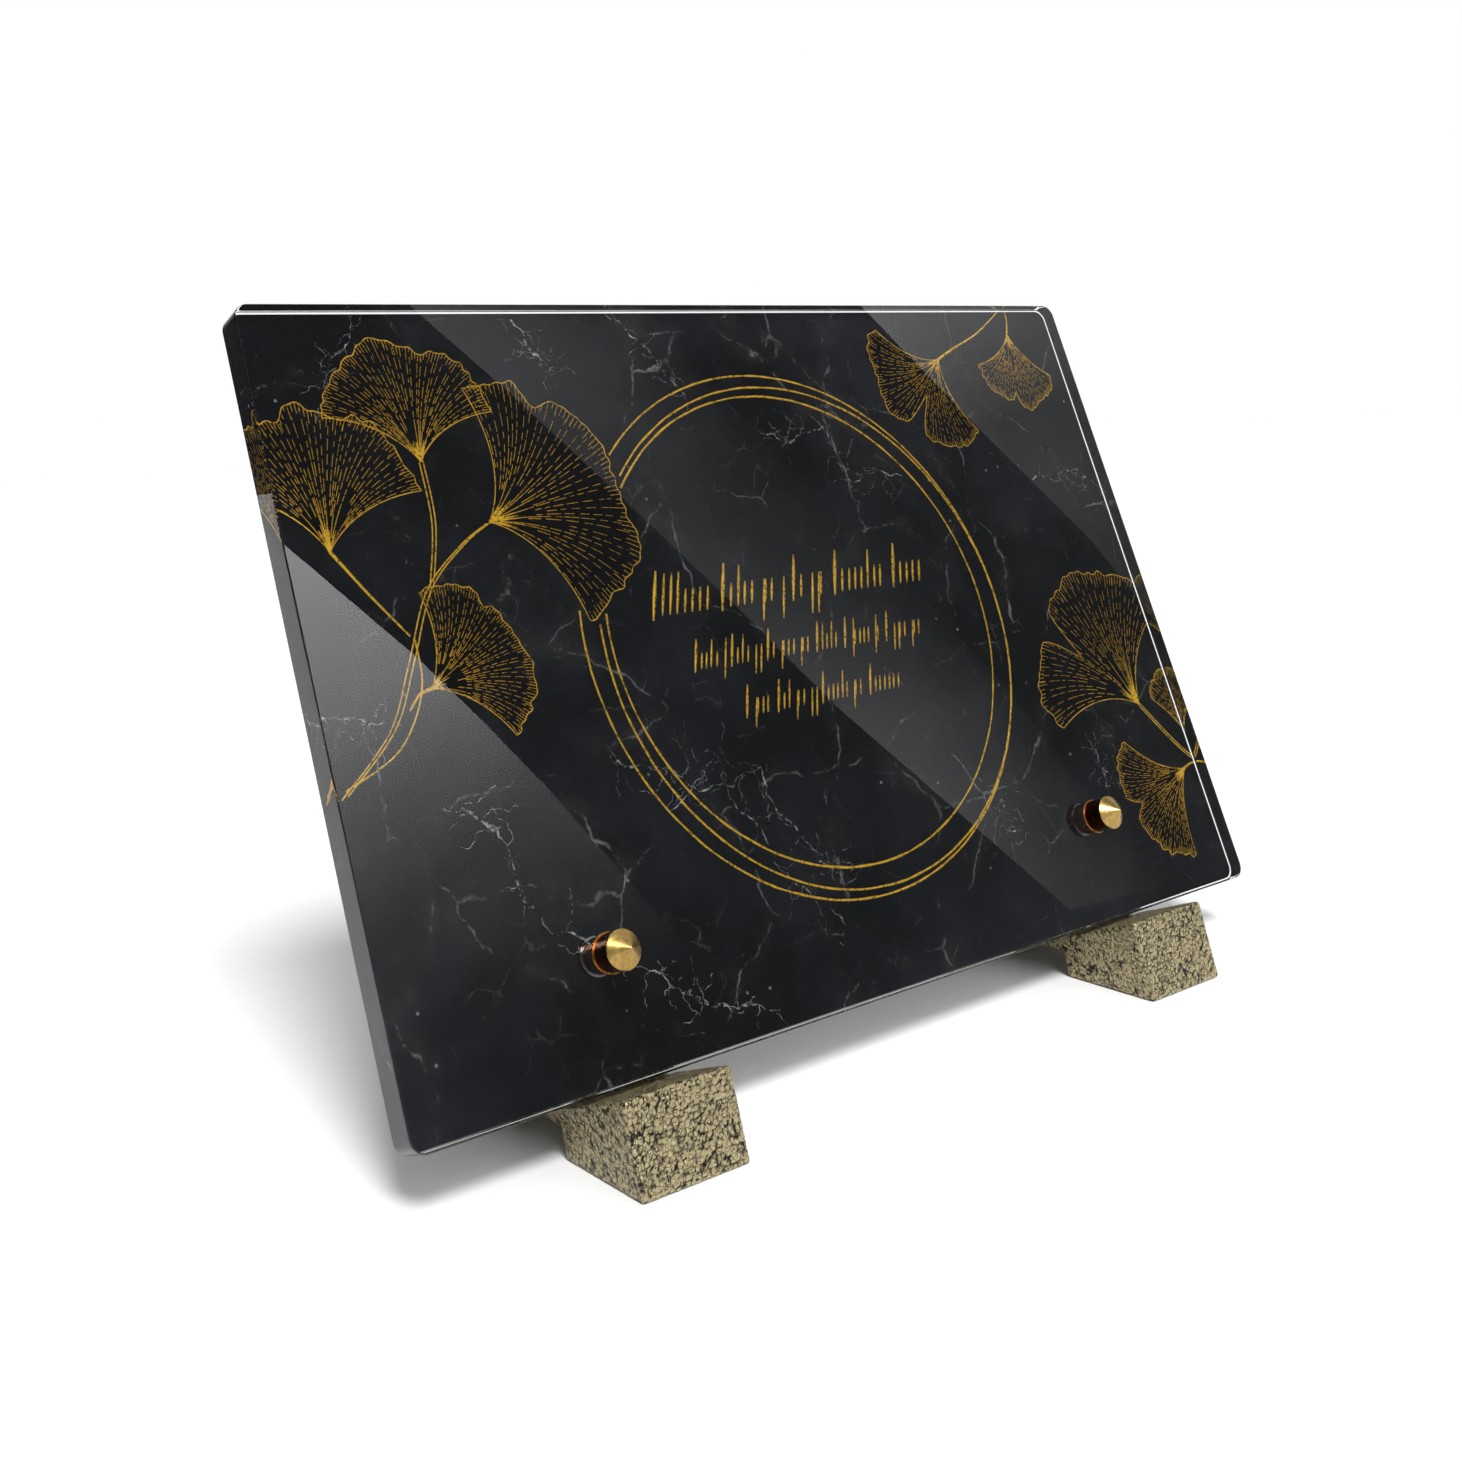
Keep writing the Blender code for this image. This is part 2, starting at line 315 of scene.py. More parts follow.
def make_marble_print():
    """Black marble as printed on the sheet."""
    material, shader = new_material("black_marble_print", Roughness=0.6, Specular_IOR_Level=0.0)
    position = node(material, "ShaderNodeTexCoord").outputs["Object"]
    clouds = node(
        material, "ShaderNodeTexNoise",
        {"Vector": position, "Scale": 1 / CLOUD_SIZE, "Detail": 8.0, "Roughness": 0.62},
    )
    cloud_share = node(
        material, "ShaderNodeMapRange", {"Value": clouds.outputs["Fac"], "From Min": 0.42, "From Max": 0.72}
    ).outputs[0]
    ground = blend_colours(material, cloud_share, colour("#111317"), colour("#2B2D32"))
    fine = vein_web(material, position, FINE_VEIN_SPACING, 0.022, 13 * MM, 0.53)
    large = vein_web(material, position, VEIN_SPACING, 0.011, 22 * MM, 0.50)
    soft = vein_web(material, position, VEIN_SPACING, 0.12, 24 * MM, 0.50)
    with_soft = blend_colours(
        material, node(material, "ShaderNodeMath", {0: soft, 1: 0.20}, operation="MULTIPLY").outputs[0],
        ground, colour("#5A564F"),
    )
    with_fine = blend_colours(
        material, node(material, "ShaderNodeMath", {0: fine, 1: 0.30}, operation="MULTIPLY").outputs[0],
        with_soft, colour("#8A8884"),
    )
    with_large = blend_colours(
        material, node(material, "ShaderNodeMath", {0: large, 1: 0.50}, operation="MULTIPLY").outputs[0],
        with_fine, colour("#B9BABD"),
    )
    specks = node(
        material, "ShaderNodeTexVoronoi", {"Vector": position, "Scale": 1 / SPECK_SPACING, "Randomness": 1.0}
    )
    speck_share = node(
        material, "ShaderNodeMapRange",
        {"Value": specks.outputs["Distance"], "From Min": 0.02, "From Max": 0.05, "To Min": 0.6, "To Max": 0.0},
    ).outputs[0]
    stone = blend_colours(material, speck_share, with_large, colour("#A8A9AB"))
    link(material, stone, shader, "Base Color")
    return material


marble = make_marble_print()
sheet_bm = rounded_sheet(
    PANEL_WIDTH, PANEL_HEIGHT, PRINT_MARGIN, sheet_front, sheet_back, CORNER_RADIUS - PRINT_MARGIN, 0,
    neck_radius + SHEET_BORE_GAP,
)
finish_piece(
    "print_sheet", sheet_bm, marble, FROM_PANEL, ("printed_backing",), smooth_angle=15
)

# %% [markdown]
# Line art could be a texture, but drawn lines stay sharp at any distance when they are shapes. Each line
# is a curve with a width at every point. The curve is turned into a mesh and pressed nearly flat, and
# it lies sealed between the clear panel and the sheet, so nothing stands proud of the panel.

# %% Ink lines
PRESSED = 0.03  # a line's thickness as a share of its width
EDGE_CLEAR = 0.75 * MM


def clip_to_print(bm):
    """Cuts off what would run past the print's edge, and closes the cut ends."""
    half = PANEL_WIDTH / 2 - EDGE_CLEAR
    planes = (
        ((half, 0, 0), (1, 0, 0)), ((-half, 0, 0), (-1, 0, 0)),
        ((0, PANEL_HEIGHT - EDGE_CLEAR, 0), (0, 1, 0)), ((0, EDGE_CLEAR, 0), (0, -1, 0)),
    )
    for point, normal in planes:
        geometry = bm.verts[:] + bm.edges[:] + bm.faces[:]
        cut = bmesh.ops.bisect_plane(bm, geom=geometry, plane_co=point, plane_no=normal, clear_outer=True)
        rim = [e for e in cut["geom_cut"] if isinstance(e, bmesh.types.BMEdge)]
        bmesh.ops.holes_fill(bm, edges=rim, sides=0)


def ink_lines(name, strokes, material, depth):
    """Strokes of (x, height, width) points in millimetres, drawn at this depth behind the front face."""
    curve = bpy.data.curves.new(name, "CURVE")
    curve.dimensions = "3D"
    curve.bevel_depth = 1.0 * MM
    curve.bevel_resolution = 0
    curve.use_fill_caps = True
    for stroke in strokes:
        spline = curve.splines.new("POLY")
        spline.points.add(len(stroke) - 1)
        for point, (x, height, width) in zip(spline.points, stroke):
            point.co = (x * MM, height * MM, 0, 1)
            point.radius = width / 2
    holder = bpy.data.objects.new(name, curve)
    scene.collection.objects.link(holder)
    bpy.context.view_layer.update()
    bm = bmesh.new()
    bm.from_mesh(holder.evaluated_get(bpy.context.evaluated_depsgraph_get()).to_mesh())
    bpy.data.objects.remove(holder)
    bmesh.ops.remove_doubles(bm, verts=bm.verts, dist=1e-6)
    bmesh.ops.scale(bm, vec=(1, 1, PRESSED), verts=bm.verts)
    clip_to_print(bm)
    stand_up = Matrix.Translation((0, depth, 0)) @ Matrix.Rotation(math.pi / 2, 4, "X")
    return finish_piece(name, bm, material, FROM_PANEL @ stand_up)


def make_gold_ink():
    """Gold screen ink: a warm matt yellow whose grain breaks up into dots, as on an engraving."""
    material, shader = new_material("gold_screen_ink", Roughness=0.6, Specular_IOR_Level=0.0)
    position = node(material, "ShaderNodeTexCoord").outputs["Object"]
    grain = node(material, "ShaderNodeTexNoise", {"Vector": position, "Scale": 1 / (0.9 * MM), "Detail": 3.0})
    share = node(
        material, "ShaderNodeMapRange", {"Value": grain.outputs["Fac"], "From Min": 0.36, "From Max": 0.47}
    ).outputs[0]
    link(material, blend_colours(material, share, colour("#8A6A18"), colour("#EDBB3A")), shader, "Base Color")
    return material


gold_ink = make_gold_ink()
GOLD_DEPTH = sheet_front - 0.05 * MM
SHADE_DEPTH = sheet_front - 0.02 * MM
VEIN_DEPTH = sheet_front - 0.03 * MM

# %% [markdown]
# The leaves are fan-shaped, with a scalloped rim and fine ribs that spread from the stalk. They are drawn
# by a rule and not traced: a place on a leaf is a share of the way across the fan and a share of the
# way out, and the ribs crowd together near the stalk and flare towards the rim.

# %% Fan leaves
LEAVES = {
    # name: (stalk x, height, direction, half spread, radius in mm, notch depth, notch place)
    "top_left": (-106, 158.5, 90, 62, 33, 0.06, -0.2),
    "edge_left": (-136, 137, 86, 60, 37, 0.10, 0.25),
    "large": (-90.5, 141, 18, 70, 44, 0.12, 0.55),
    "lower_left": (-117.5, 100.5, 24, 60, 29, 0.08, 0.35),
    "top_right": (91, 182.5, 222, 66, 32, 0.45, 0.12),
    "corner": (128, 191, 262, 52, 26, 0.10, -0.1),
    "right": (132.5, 60, 117, 66, 46, 0.40, 0.30),
    "low_right": (144, 37, 203, 50, 32, 0.14, -0.15),
    "edge_right": (153, 42, 84, 42, 28, 0.10, 0.0),
}
RIBS = 38
STALK_TUFTS = 22
DASH_POINTS = 5


class FanLeaf:
    """One leaf: where its places lie on the panel, in millimetres."""

    def __init__(self, name, x, height, direction, spread, radius, notch, notch_place):
        self.stalk = Vector((x, height))
        self.direction = math.radians(direction)
        self.spread = math.radians(spread)
        self.radius = radius
        self.notch = notch
        self.notch_place = notch_place
        self.seed = 7.3 * len(name) + x

    def rim(self, across):
        """The leaf's reach at a place across the fan, from -1 to 1."""
        lobes = 1 + 0.09 * noise.noise(Vector((self.seed, across * 3.1, 0)))
        scallop = 0.040 * noise.noise(Vector((self.seed, across * 15.0, 5)))
        cut = self.notch * math.exp(-((across - self.notch_place) / 0.07) ** 2)
        shoulder = 1 - 0.16 * abs(across) ** 3
        return self.radius * (shoulder * lobes + scallop - cut)

    def place(self, across, out):
        """A point on the leaf: out is 0 at the stalk and 1 at the rim."""
        flare = 0.50 + 0.50 * out ** 0.8
        angle = self.direction + across * self.spread * flare
        return self.stalk + Vector((math.cos(angle), math.sin(angle))) * self.rim(across) * out

    def outline(self, steps=110):
        """The closed outline, from the stalk round the rim and back."""
        sides = [i / 14 for i in range(1, 14)]
        left = [self.place(-1, out) for out in sides]
        rim = [self.place(-1 + 2 * i / steps, 1) for i in range(steps + 1)]
        right = [self.place(1, out) for out in reversed(sides)]
        return [self.stalk.copy()] + left + rim + right

    def holds(self, point, margin=1.0):
        """Whether a point lies on the leaf, with a margin in millimetres."""
        offset = point - self.stalk
        if offset.length < 1e-6:
            return True
        turned = math.remainder(math.atan2(offset.y, offset.x) - self.direction, 2 * math.pi)
        across = turned / self.spread
        return abs(across) <= 1 and offset.length <= self.rim(across) + margin


def rib_strokes(leaf, dice):
    """Ribs that are whole near the stalk and break into dashes towards the rim."""
    strokes = []
    for rib in range(RIBS):
        across = -0.97 + 1.94 * (rib + dice.uniform(-0.25, 0.25)) / (RIBS - 1)
        start = dice.choice((0.10, 0.26, 0.34, 0.42, 0.52))
        end = dice.uniform(0.90, 0.99)
        out = start
        while out < end:
            dash = dice.uniform(0.03, 0.11) + max(0.0, 0.28 - out)
            stop = min(end, out + dash)
            points = []
            for step in range(DASH_POINTS):
                s = out + (stop - out) * step / (DASH_POINTS - 1)
                at = leaf.place(across, s)
                points.append((at.x, at.y, 0.21 - 0.10 * s))
            strokes.append(points)
            out = stop + dice.uniform(0.01, 0.045) * (0.5 + out)
    return strokes


def rim_strokes(leaf, dice):
    """The scalloped rim with the two sides, and short ticks that run in from it."""
    outline = leaf.outline()
    rim = [(p.x, p.y, 0.30 + 0.14 * noise.noise(Vector((p.x * 0.7, p.y * 0.7, 3)))) for p in outline]
    strokes = [rim + [rim[0]]]
    for tick in range(RIBS * 2):
        across = -0.98 + 1.96 * tick / (RIBS * 2 - 1)
        depth = dice.uniform(0.03, 0.10)
        ends = [leaf.place(across, 1 - depth * share) for share in (0, 0.5, 1)]
        strokes.append([(p.x, p.y, 0.15) for p in ends])
    return strokes


def stalk_strokes(leaf, dice):
    """The thick gold fan of short strokes where the ribs meet the stalk."""
    strokes = []
    for _ in range(STALK_TUFTS):
        across = dice.uniform(-0.8, 0.8)
        reach = dice.uniform(0.08, 0.22)
        ends = [leaf.place(across, reach * share) for share in (0, 0.33, 0.66, 1)]
        strokes.append([(p.x, p.y, w) for p, w in zip(ends, (0.8, 0.7, 0.35, 0.10))])
    return strokes


leaves = [FanLeaf(name, *values) for name, values in LEAVES.items()]
leaf_dice = random.Random(4)
leaf_ink = []
for leaf in leaves:
    leaf_ink += rib_strokes(leaf, leaf_dice) + rim_strokes(leaf, leaf_dice) + stalk_strokes(leaf, leaf_dice)
ink_lines("gold_leaves", leaf_ink, gold_ink, GOLD_DEPTH)

# %% [markdown]
# Inside a leaf the print is a little blacker, and no marble vein shows there. A thin dark shape under
# the gold lines does that, made from the same outline as the leaf's rim.

# %% Dark leaf fields
def make_leaf_field():
    """The near-black ink inside the leaves, with a trace of the marble's grey."""
    material, shader = new_material("black_ink_field", Roughness=0.6, Specular_IOR_Level=0.0)
    position = node(material, "ShaderNodeTexCoord").outputs["Object"]
    haze = node(material, "ShaderNodeTexNoise", {"Vector": position, "Scale": 1 / (18 * MM), "Detail": 6.0})
    share = node(
        material, "ShaderNodeMapRange", {"Value": haze.outputs["Fac"], "From Min": 0.45, "From Max": 0.80}
    ).outputs[0]
    link(material, blend_colours(material, share, colour("#0A0B0E"), colour("#1B1D21")), shader, "Base Color")
    return material


field_bm = bmesh.new()
for leaf in leaves:
    ring = [field_bm.verts.new((p.x * MM, p.y * MM, 0)) for p in leaf.outline()]
    face = field_bm.faces.new(ring)
    grown = bmesh.ops.extrude_face_region(field_bm, geom=[face])
    lifted = [v for v in grown["geom"] if isinstance(v, bmesh.types.BMVert)]
    bmesh.ops.translate(field_bm, verts=lifted, vec=(0, 0, 0.008 * MM))
clip_to_print(field_bm)
field_place = FROM_PANEL @ Matrix.Translation((0, SHADE_DEPTH, 0)) @ Matrix.Rotation(math.pi / 2, 4, "X")
finish_piece("leaf_fields", field_bm, make_leaf_field(), field_place)

# %% [markdown]
# Stems tie the leaves together. Each is a smooth line through a few points, and the main ones are drawn
# as two lines side by side, like the outline of a twig.

# %% Stems
STEM_STEPS = 12


def smooth_line(points, width_start, width_end):
    """A Catmull-Rom line through (x, height) points, as stroke points whose width tapers."""
    ends = [points[0]] + list(points) + [points[-1]]
    line = []
    for i in range(1, len(ends) - 2):
        a, b, c, d = [Vector(p) for p in ends[i - 1:i + 3]]
        for step in range(STEM_STEPS):
            t = step / STEM_STEPS
            square = (2 * a - 5 * b + 4 * c - d) * t * t
            cube = (3 * b - a - 3 * c + d) * t ** 3
            line.append(0.5 * (2 * b + (c - a) * t + square + cube))
    line.append(Vector(points[-1]))
    last = len(line) - 1
    return [(p.x, p.y, width_start + (width_end - width_start) * i / last) for i, p in enumerate(line)]


def twig(points, gap, width):
    """Two lines side by side, a gap apart."""
    shifted = [[(x + side * gap / 2, y + side * gap / 6) for x, y in points] for side in (-1, 1)]
    return [smooth_line(line, width, width) for line in shifted]


stem_ink = []
stem_ink += twig([(-106, 158.5), (-106.5, 142), (-111, 126)], 1.1, 0.42)
main_stem = [(-90.5, 141), (-100, 135.5), (-112, 125), (-121, 108), (-130, 92), (-145.5, 78.5)]
stem_ink += twig(main_stem, 1.7, 0.42)
stem_ink += [smooth_line([(-136, 137), (-128, 125), (-120, 114)], 1.0, 0.5)]
stem_ink += [smooth_line([(-119, 113), (-119.5, 103), (-123.5, 94), (-131, 86), (-145, 80)], 0.5, 0.5)]
stem_ink += [smooth_line([(-117.5, 100.5), (-121, 99.5), (-124.5, 96)], 1.1, 0.5)]
stem_ink += [smooth_line([(91, 182.5), (99, 186), (114, 192), (131, 202)], 1.0, 0.45)]
stem_ink += [smooth_line([(128, 191), (130, 196), (131, 202)], 0.8, 0.45)]
stem_ink += twig([(132.5, 60), (140, 50), (147, 42), (155, 35)], 0.9, 0.45)
stem_ink += [smooth_line([(144, 37), (149, 38), (155, 36)], 0.9, 0.5)]
ink_lines("gold_stems", stem_ink, gold_ink, GOLD_DEPTH - 0.01 * MM)

# %% [markdown]
# Three thin rings frame the middle. They aren't quite concentric: the outer two run together on the right,
# and the leaves lie over them, so a ring stops where a leaf begins.

# %% Rings
RINGS = ((5.6, 102.0, 77.0), (8.4, 101.2, 74.0), (6.2, 103.0, 69.4))
RING_STEPS = 300


def ring_strokes(x, height, radius):
    """A ring as strokes, without the stretches that a leaf covers."""
    strokes, run = [], []
    for i in range(RING_STEPS + 1):
        angle = math.radians(120) + 2 * math.pi * i / RING_STEPS
        sketchy = 0.16 * noise.noise(Vector((math.cos(angle) * 9, math.sin(angle) * 9, radius)))
        at = Vector((x, height)) + Vector((math.cos(angle), math.sin(angle))) * (radius + sketchy)
        width = 0.62 + 0.30 * noise.noise(Vector((at.x * 0.35, at.y * 0.35, radius)))
        if any(leaf.holds(at) for leaf in leaves):
            if len(run) > 1:
                strokes.append(run)
            run = []
        else:
            run.append((at.x, at.y, width))
    return strokes + ([run] if len(run) > 1 else [])


ring_ink = [stroke for ring in RINGS for stroke in ring_strokes(*ring)]
ink_lines("gold_rings", ring_ink, gold_ink, GOLD_DEPTH)

# %% [markdown]
# The inscription is left out. Three rows of slanted brush strokes stand in its place: they have its
# height, slope and rhythm, but they are not letters.

# %% Rows of strokes
ROWS = (
    # (left, right, base height, stroke height, step, width) in mm
    (-48, 57, 110.5, 6.6, 2.55, 0.95),
    (-39, 51, 94.5, 4.4, 1.80, 0.68),
    (-26, 38, 80.0, 4.4, 1.80, 0.68),
)
STROKE_SLANT = 0.36


def brush_stroke(x, base, height, width):
    """A straight slanted stroke, thin at both ends."""
    points = []
    for step in range(9):
        t = step / 8
        swell = math.sin(math.pi * (0.08 + 0.84 * t))
        points.append((x + STROKE_SLANT * height * t, base + height * t, width * (0.25 + 0.75 * swell)))
    return points


def row_strokes(left, right, base, height, step, width, dice):
    """Groups of strokes like words: each opens with a tall one, and a few strokes reach up or down."""
    strokes = []
    x = left
    while x < right - 2 * step:
        count = min(dice.randint(4, 8), int((right - x) / step))
        strokes.append(brush_stroke(x, base - 0.15 * height, height * 2.05, width * 1.35))
        x += step * 1.3
        for _ in range(count):
            reach = dice.choice((1, 1, 1, 1, 1.75, 1))
            drop = dice.choice((0, 0, 0, 0, 0.8))
            strokes.append(brush_stroke(x, base - drop * height, height * (reach + drop), width))
            x += step * dice.uniform(0.9, 1.12)
        x += step * 0.9
    return strokes


row_dice = random.Random(11)
row_ink = [stroke for row in ROWS for stroke in row_strokes(*row, row_dice)]
ink_lines("gold_rows", row_ink, gold_ink, GOLD_DEPTH)

# %% [markdown]
# A few veins of the marble are strong enough to be shapes of their own: jagged white lines that wander
# between a few points and throw short side branches. Each stretch is split in half again and again,
# and every middle is pushed aside a little, which is how cracks in stone look.

# %% Strong veins
STRONG_VEINS = (
    ([(-122, 72), (-107, 59), (-100, 37), (-79, 25), (-64, 13), (-41, 5)], 1.10),
    ([(7, 161), (17, 157), (34, 161), (35, 147), (38, 143), (59, 144)], 0.45),
    ([(117, 139), (141, 141), (149, 131)], 0.50),
    ([(-72, 78), (-58, 71), (-48, 63), (-26, 66), (-25, 55), (-15, 38), (-1, 34)], 0.60),
    ([(107, 55), (105, 46), (104, 37)], 0.50),
    ([(59, 45), (57, 33), (66, 30)], 0.50),
    ([(-148, 98), (-138, 96), (-128, 94)], 0.50),
    ([(-69, 199), (-66, 190), (-62, 182), (-58, 183)], 0.50),
    ([(-38, 200), (-27, 190), (-21, 181), (-15, 173)], 0.55),
    ([(-132, 171), (-120, 190), (-116, 199)], 0.45),
    ([(-60, 60), (-40, 72), (-31, 50), (-12, 20)], 0.40),
)


def jagged(start, end, dice, splits=5, push=0.16):
    """The points between two ends after halving and pushing each middle aside."""
    line = [Vector(start), Vector(end)]
    for _ in range(splits):
        finer = [line[0]]
        for a, b in zip(line, line[1:]):
            across = Vector((a.y - b.y, b.x - a.x))
            finer += [(a + b) / 2 + across * dice.uniform(-push, push), b]
        line = finer
    return line


def vein_strokes(points, width, dice):
    """One vein with its branches, thick and thin by noise."""
    line = []
    for a, b in zip(points, points[1:]):
        line += jagged(a, b, dice)
    swells = [max(0.12, 0.5 + 1.2 * noise.noise(Vector((p.x, p.y, 2)) * 0.3)) for p in line]
    strokes = [[(p.x, p.y, width * swell) for p, swell in zip(line, swells)]]
    for _ in range(5 * len(points)):
        root = dice.choice(line)
        angle = dice.uniform(0, 2 * math.pi)
        reach = dice.uniform(3, 12)
        tip = root + Vector((math.cos(angle), math.sin(angle))) * reach
        strokes.append([(p.x, p.y, width * 0.16) for p in jagged(root, tip, dice, 4, 0.26)])
    return strokes


def make_vein_ink():
    """The vein's white, worn through to black by noise."""
    material, shader = new_material("white_vein_print", Roughness=0.6, Specular_IOR_Level=0.0)
    position = node(material, "ShaderNodeTexCoord").outputs["Object"]
    wear = node(
        material, "ShaderNodeTexNoise",
        {"Vector": position, "Scale": 1 / (2.2 * MM), "Detail": 8.0, "Roughness": 0.8},
    )
    share = node(
        material, "ShaderNodeMapRange", {"Value": wear.outputs["Fac"], "From Min": 0.47, "From Max": 0.62}
    ).outputs[0]
    link(material, blend_colours(material, share, colour("#16181C"), colour("#E2E3E5")), shader, "Base Color")
    return material


vein_dice = random.Random(23)
vein_ink = [stroke for points, width in STRONG_VEINS for stroke in vein_strokes(points, width, vein_dice)]
ink_lines("marble_veins", vein_ink, make_vein_ink(), VEIN_DEPTH)

# %% [markdown]
# The feet are cast and sprayed with hammer-finish lacquer, the kind that pulls itself into small pools
# with seams between them. The pools are real relief here: a copy of each packed foot is rebuilt as
# a fine even mesh, and every point sinks where a cell pattern has its seams. The seam strength is kept
# as an attribute, so that a painted shade, near-black, sits exactly in the sunk seams.

# %% Hammered feet
FEET_GRID = 0.45 * MM
POOL_SIZE = 1.35 * MM
PIT_SPACING = 0.95 * MM
SEAM_DEPTH = 0.16 * MM


def make_hammered_lacquer():
    """Bronze hammer finish: metallic gold pools, with brown-black painted shade in the seams and pits."""
    material, shader = new_material("bronze_hammer_lacquer", Metallic=0.45, Roughness=0.28)
    seam = node(material, "ShaderNodeAttribute", attribute_name="seam").outputs["Fac"]
    position = node(material, "ShaderNodeTexCoord").outputs["Object"]
    bent = bent_position(material, position, 1.0 * MM, 0.7 * MM)
    pits = node(
        material, "ShaderNodeTexVoronoi", {"Vector": bent, "Scale": 1 / PIT_SPACING}, feature="DISTANCE_TO_EDGE"
    ).outputs["Distance"]
    pit_shade_share = node(
        material, "ShaderNodeMapRange",
        {"Value": pits, "From Min": 0.02, "From Max": 0.13, "To Min": 1.0, "To Max": 0.0},
    ).outputs[0]
    patchy = node(material, "ShaderNodeTexNoise", {"Vector": position, "Scale": 1 / (1.6 * MM), "Detail": 3.0})
    pit_places = node(
        material, "ShaderNodeMapRange", {"Value": patchy.outputs["Fac"], "From Min": 0.42, "From Max": 0.56}
    ).outputs[0]
    shaded_pits = node(material, "ShaderNodeMath", {0: pit_shade_share, 1: pit_places}, operation="MULTIPLY")
    # Painted shade: the sunk seams and the open pits are painted near-black, standing in for the shade that
    # falls in these recesses.
    seam_shade_share = node(
        material, "ShaderNodeMapRange", {"Value": seam, "From Min": 0.35, "From Max": 0.85}
    ).outputs[0]
    dark = node(
        material, "ShaderNodeMath", {0: shaded_pits.outputs[0], 1: seam_shade_share}, operation="MAXIMUM"
    ).outputs[0]
    pool = blend_colours(material, patchy.outputs["Fac"], colour("#85764E"), colour("#D6C9A0"))
    link(material, blend_colours(material, dark, pool, colour("#0E0B05")), shader, "Base Color")
    bump = node(material, "ShaderNodeBump", {"Height": pits, "Strength": 0.7, "Distance": 0.25 * MM})
    link(material, bump.outputs["Normal"], shader, "Normal")
    return material


def hammered_foot(side, material):
    """A fine mesh of one packed foot, sunk at the seams between the pools."""
    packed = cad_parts[f"foot_{side}"]
    merged = bmesh.new()
    merged.from_mesh(packed.data)
    bmesh.ops.remove_doubles(merged, verts=merged.verts, dist=1e-6)
    blank_mesh = bpy.data.meshes.new("foot_blank")
    merged.to_mesh(blank_mesh)
    merged.free()
    blank = bpy.data.objects.new("foot_blank", blank_mesh)
    scene.collection.objects.link(blank)
    grid = blank.modifiers.new("even grid", "REMESH")
    grid.mode = "VOXEL"
    grid.voxel_size = FEET_GRID
    bpy.context.view_layer.update()
    bm = bmesh.new()
    bm.from_object(blank, bpy.context.evaluated_depsgraph_get())
    bpy.data.objects.remove(blank)
    bmesh.ops.smooth_vert(bm, verts=bm.verts, factor=0.5, use_axis_x=True, use_axis_y=True, use_axis_z=True)
    bm.normal_update()
    seams = {}
    for vert in bm.verts:
        near = noise.voronoi(vert.co / POOL_SIZE)[0]
        seam = max(0.0, 1 - (near[1] - near[0]) / 0.34)
        rough = 0.25 * noise.noise(vert.co / (3 * POOL_SIZE))
        seams[vert.index] = min(1.0, seam + rough * seam)
    sunk = [(vert, vert.normal.copy() * SEAM_DEPTH * seams[vert.index]) for vert in bm.verts]
    for vert, drop in sunk:
        vert.co -= drop
    order = [seams[vert.index] for vert in bm.verts]
    piece = finish_piece(
        f"foot_{side}_cast", bm, material, stands_for=(f"foot_{side}",), smooth_angle=180
    )
    attribute = piece.data.attributes.new("seam", "FLOAT", "POINT")
    attribute.data.foreach_set("value", order)
    return piece


lacquer = make_hammered_lacquer()
for side in ("left", "right"):
    hammered_foot(side, lacquer)

# %% [markdown]
# The studs are turned from brass bar: a cone whose fine tool rings catch a fan of light, a smooth barrel,
# a thin collar on the panel and a neck that shows through it. A lathe makes them, so the profile is spun
# round its axis here too. The tool rings are drawn into the profile as tiny steps.

# %% Brass studs
CONE_RINGS = 14
RING_GROOVE = 0.018 * MM
SPIN_STEPS = 96


def make_turned_brass():
    """Turned brass: a brass-coloured cone, a collar painted bright orange as a painted highlight, and a barrel
    and neck painted dark brown as a painted dark reflection.
    """
    material, shader = new_material("turned_brass", Metallic=1.0, Roughness=0.24)
    position = node(material, "ShaderNodeTexCoord").outputs["Object"]
    tone = node(material, "ShaderNodeTexNoise", {"Vector": position, "Scale": 1 / (1.1 * MM), "Detail": 5.0})
    above = node(
        material, "ShaderNodeVectorMath", {0: position, 1: tuple(-INTO_PANEL)}, operation="DOT_PRODUCT"
    ).outputs["Value"]
    height = node(material, "ShaderNodeMath", {0: above, 1: front_face}, operation="ADD").outputs[0]
    on_cone = node(material, "ShaderNodeMath", {0: height, 1: 6.45 * MM}, operation="GREATER_THAN").outputs[0]
    collar_highlight_mask = node(
        material, "ShaderNodeMath", {0: height, 1: 0.5 * MM, 2: 0.22 * MM}, operation="COMPARE"
    ).outputs[0]
    # Painted light: the barrel and the neck get a dark brown that stands in for a dark reflection on the brass,
    # and the collar gets a bright orange that is a painted highlight.
    barrel_shade_and_collar_highlight = blend_colours(material, collar_highlight_mask, colour("#5A3112"), colour("#C98A45"))
    cone = blend_colours(material, tone.outputs["Fac"], colour("#7C6230"), colour("#CFAE68"))
    link(material, blend_colours(material, on_cone, barrel_shade_and_collar_highlight, cone), shader, "Base Color")
    scuff = node(
        material, "ShaderNodeMapRange", {"Value": tone.outputs["Fac"], "To Min": 0.16, "To Max": 0.34}
    ).outputs[0]
    link(material, scuff, shader, "Roughness")
    return material


